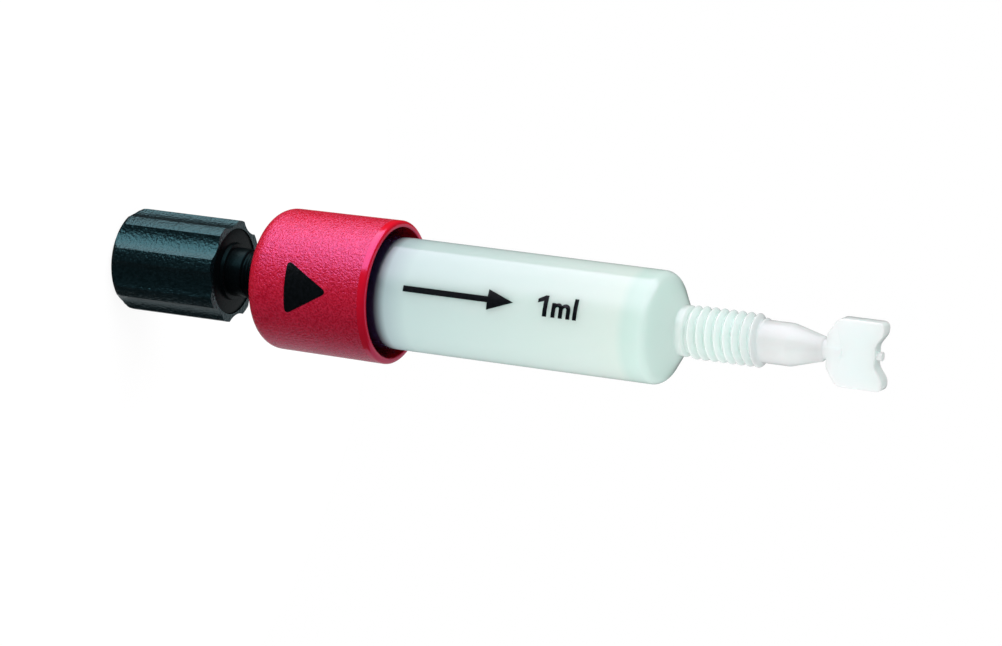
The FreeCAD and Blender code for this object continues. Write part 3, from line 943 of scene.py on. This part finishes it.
def printed_text(name, body, height):
    """Text as a flat mesh in the plane y = 0, as high as given and centred in z."""
    deselect_all()
    bpy.ops.object.text_add(rotation=(math.pi / 2, 0, 0))
    words = bpy.context.object
    words.name = name
    words.data.body = body
    words.data.resolution_u = 4
    words.data.offset = 0.03
    words.data.space_character = 1.08
    bpy.ops.object.convert(target="MESH")
    piece = bpy.context.object
    bpy.ops.object.transform_apply(location=True, rotation=True, scale=True)
    xs = [v.co.x for v in piece.data.vertices]
    zs = [v.co.z for v in piece.data.vertices]
    size = height * MM / (max(zs) - min(zs))
    for vertex in piece.data.vertices:
        vertex.co.x = (vertex.co.x - min(xs)) * size
        vertex.co.z = (vertex.co.z - (min(zs) + max(zs)) / 2) * size
    return piece


# The figure 1 gets its flag from an outline, because the built-in font's has none.
figure = flat_face("volume_figure", [
    (FIGURE_LENGTH - STROKE, -FIGURE_HEIGHT / 2),
    (FIGURE_LENGTH, -FIGURE_HEIGHT / 2),
    (FIGURE_LENGTH, FIGURE_HEIGHT / 2),
    (FIGURE_LENGTH - 0.75 * STROKE, FIGURE_HEIGHT / 2),
    (0, FIGURE_HEIGHT * 0.3),
    (0, FIGURE_HEIGHT * 0.12),
    (FIGURE_LENGTH - STROKE, FIGURE_HEIGHT * 0.22),
])
lay_on_wall(figure, VOLUME_START, VOLUME_ROLL, barrel_wall)

unit = printed_text("volume_unit", "ml", FIGURE_HEIGHT)
lay_on_wall(unit, VOLUME_START + FIGURE_LENGTH + UNIT_GAP, VOLUME_ROLL, barrel_wall)

# %% [markdown]
# The cap carries a plain arrowhead that shows which way the liquid flows. It is a
# triangle with its three corners rounded by a bevel of the corner points.

# %% The arrowhead on the cap
MARK_HALF_LENGTH = 2.6
MARK_HALF_WIDTH = 3.0
MARK_MIDDLE = CAP_FACE + 7.7
MARK_ROLL = -7.6
MARK_ROUND = 0.7

cap_mark = flat_face("cap_mark", [
    (-MARK_HALF_LENGTH, -MARK_HALF_WIDTH),
    (MARK_HALF_LENGTH, 0),
    (-MARK_HALF_LENGTH, MARK_HALF_WIDTH),
])
make_active(cap_mark)
bpy.ops.object.mode_set(mode="EDIT")
bpy.ops.mesh.select_all(action="SELECT")
bpy.ops.mesh.bevel(offset=MARK_ROUND * MM, segments=6, affect="VERTICES")
bpy.ops.object.mode_set(mode="OBJECT")
lay_on_wall(cap_mark, MARK_MIDDLE, MARK_ROLL, cap_wall)

# %% [markdown]
# The object stands on a small white floor under a white world. The camera, and
# light that passes through the plastic, see pure white. Light that falls on the
# object from the world is only a soft fill, and so is what its glossy surfaces
# reflect, because in the photograph the dark grip mirrors a dim room. The floor
# mixes its own white with a lit surface, so the shadow stays, but faint. It
# doesn't show in reflections and casts no shadow itself, so the light reaches the
# column from below too, as over a light table.

# %% The floor
FLOOR_RADIUS = 60.0
FLOOR_DROP = 0.02  # keeps it from flickering through the face that stands on it
FLOOR_WHITE = 1.12  # a little over 1, because the lit share is under 1
FLOOR_WHITE_SHARE = 0.8


def seen_directly(tree):
    """1 for camera rays and for rays that passed through the plastic, else 0."""
    rays = add(tree, "ShaderNodeLightPath")
    return add(tree, "ShaderNodeMath", operation="MAXIMUM",
               links=[(0, rays.outputs["Is Camera Ray"]),
                      (1, rays.outputs["Is Transmission Ray"])]).outputs[0]


def white_floor_paint():
    """White to the camera, with a share of a lit surface that shows the shadow."""
    material, tree = new_material("studio_floor")
    paint = add(tree, "ShaderNodeBsdfDiffuse", in_Color=colour("#F4F4F4"))
    glow = add(tree, "ShaderNodeEmission", in_Color=(1, 1, 1, 1), in_Strength=FLOOR_WHITE)
    share = add(tree, "ShaderNodeMath", operation="MULTIPLY",
                links=[(0, seen_directly(tree))], in_1=FLOOR_WHITE_SHARE)
    mixed = add(tree, "ShaderNodeMixShader",
                links=[(0, share.outputs[0]), (1, paint.outputs[0]), (2, glow.outputs[0])])
    output(tree, mixed)
    return material


deselect_all()
bpy.ops.mesh.primitive_circle_add(
    vertices=96, radius=FLOOR_RADIUS * MM, fill_type="NGON",
    location=(0, 0, -FLOOR_DROP * MM))
floor = bpy.context.object
floor.name = "studio_floor"
dress(floor, white_floor_paint())
floor.visible_glossy = False
floor.visible_shadow = False
print("floor faces:", len(floor.data.polygons))

# %% The world
FILL = 0.45
ROOM_IN_GLOSS = 0.05

world = bpy.data.worlds.new("white_studio")
world.use_nodes = True
bpy.context.scene.world = world
sky = world.node_tree
sky.nodes.clear()
fill = add(sky, "ShaderNodeBackground", in_Color=(1, 1, 1, 1), in_Strength=FILL)
dim_room = add(sky, "ShaderNodeBackground", in_Color=(1, 1, 1, 1), in_Strength=ROOM_IN_GLOSS)
white = add(sky, "ShaderNodeBackground", in_Color=(1, 1, 1, 1), in_Strength=1.0)
sky_rays = add(sky, "ShaderNodeLightPath")
on_object = add(sky, "ShaderNodeMixShader",
                links=[(0, sky_rays.outputs["Is Glossy Ray"]), (1, fill.outputs[0]),
                       (2, dim_room.outputs[0])])
everything = add(sky, "ShaderNodeMixShader",
                 links=[(0, seen_directly(sky)), (1, on_object.outputs[0]),
                        (2, white.outputs[0])])
add(sky, "ShaderNodeOutputWorld", links=[("Surface", everything.outputs[0])])
bpy.context.scene.view_settings.view_transform = "Standard"
print("world nodes:", len(sky.nodes))

# %% [markdown]
# One large soft box hangs on the side that is up in the picture. The highlight on
# the barrel tells where: a mirror sends the lamp's light to the lens where the
# wall's normal is halfway between the two. The dark pieces show a strong fall-off
# from top to bottom. The milky pieces don't, because light wanders through them
# from side to side, further than a render's scattering carries it. So the box is
# linked to the dark pieces and the floor, with a weak box behind and below the
# column for their shaded side. Four wide, weak lamps round the column light the
# milky pieces evenly, and three boxes give them their shine and nothing else.

# %% Helpers for the lamps
UPPER_SIDE = FRONT.cross(AXIS)  # the side that is up in the picture
column_middle = Vector((0, 0, (CAP_RIM + 10) * MM))


def group_of(name, pieces):
    """A collection of pieces, so that a lamp can light them alone."""
    group = bpy.data.collections.new(name)
    for piece in pieces:
        group.objects.link(piece)
    return group


def soft_light(name, from_front, distance, width, height, radiance, lit):
    """An area lamp that faces the column, turned from the front towards the upper
    side, in degrees. Its sizes are in metres, and it lights one group of pieces."""
    data = bpy.data.lights.new(name, "AREA")
    data.shape = "RECTANGLE"
    data.size = width
    data.size_y = height
    data.energy = radiance * math.pi * width * height
    lamp = bpy.data.objects.new(name, data)
    bpy.context.scene.collection.objects.link(lamp)
    turn = math.radians(from_front)
    aim = FRONT * math.cos(turn) + UPPER_SIDE * math.sin(turn)
    lamp.location = column_middle + aim * distance
    lamp.rotation_euler = (-aim).to_track_quat("-Z", "Y").to_euler()
    lamp.visible_camera = False
    lamp.light_linking.receiver_collection = lit
    return lamp


# %% The lamps
BOX_DISTANCE = 0.35
BOX_HEIGHT = 0.7
KEY_FROM_FRONT, KEY_WIDTH, KEY_RADIANCE = 67, 0.55, 2.7
BACK_FROM_FRONT, BACK_WIDTH, BACK_RADIANCE = 210, 0.62, 0.45
# Three boxes end at the same upper edge, so the shine ends sharply there and
# fades towards the front: each is (degrees from the front, width, radiance).
SHINE_LAYERS = [(61, 0.62, 1.2), (66, 0.54, 1.2), (71, 0.46, 1.2)]
SHINE_COLOUR = (0.92, 0.8, 1.0)
WRAP_DISTANCE = 0.45
WRAP_SIZE = 0.8
WRAP_RADIANCE = 0.92

milky_group = group_of("milky_pieces", [barrel, arrow, figure, unit])
dark_group = group_of("dark_pieces", [cap, cap_mark, grip, screw, adaptor, floor])

soft_light("key_box", KEY_FROM_FRONT, BOX_DISTANCE, KEY_WIDTH, BOX_HEIGHT,
           KEY_RADIANCE, dark_group)
for layer, (from_front, width, radiance) in enumerate(SHINE_LAYERS):
    shine = soft_light(f"shine_{layer}", from_front, BOX_DISTANCE, width, BOX_HEIGHT,
                       radiance, milky_group)
    shine.data.color = SHINE_COLOUR
    shine.visible_diffuse = False
    shine.visible_transmission = False
soft_light("back_box", BACK_FROM_FRONT, BOX_DISTANCE, BACK_WIDTH, BOX_HEIGHT,
           BACK_RADIANCE, dark_group)
for quarter in range(4):
    wrap = soft_light(f"wrap_{quarter}", 90 * quarter, WRAP_DISTANCE, WRAP_SIZE, WRAP_SIZE,
                      WRAP_RADIANCE, milky_group)
    wrap.visible_glossy = False
    wrap.visible_transmission = False
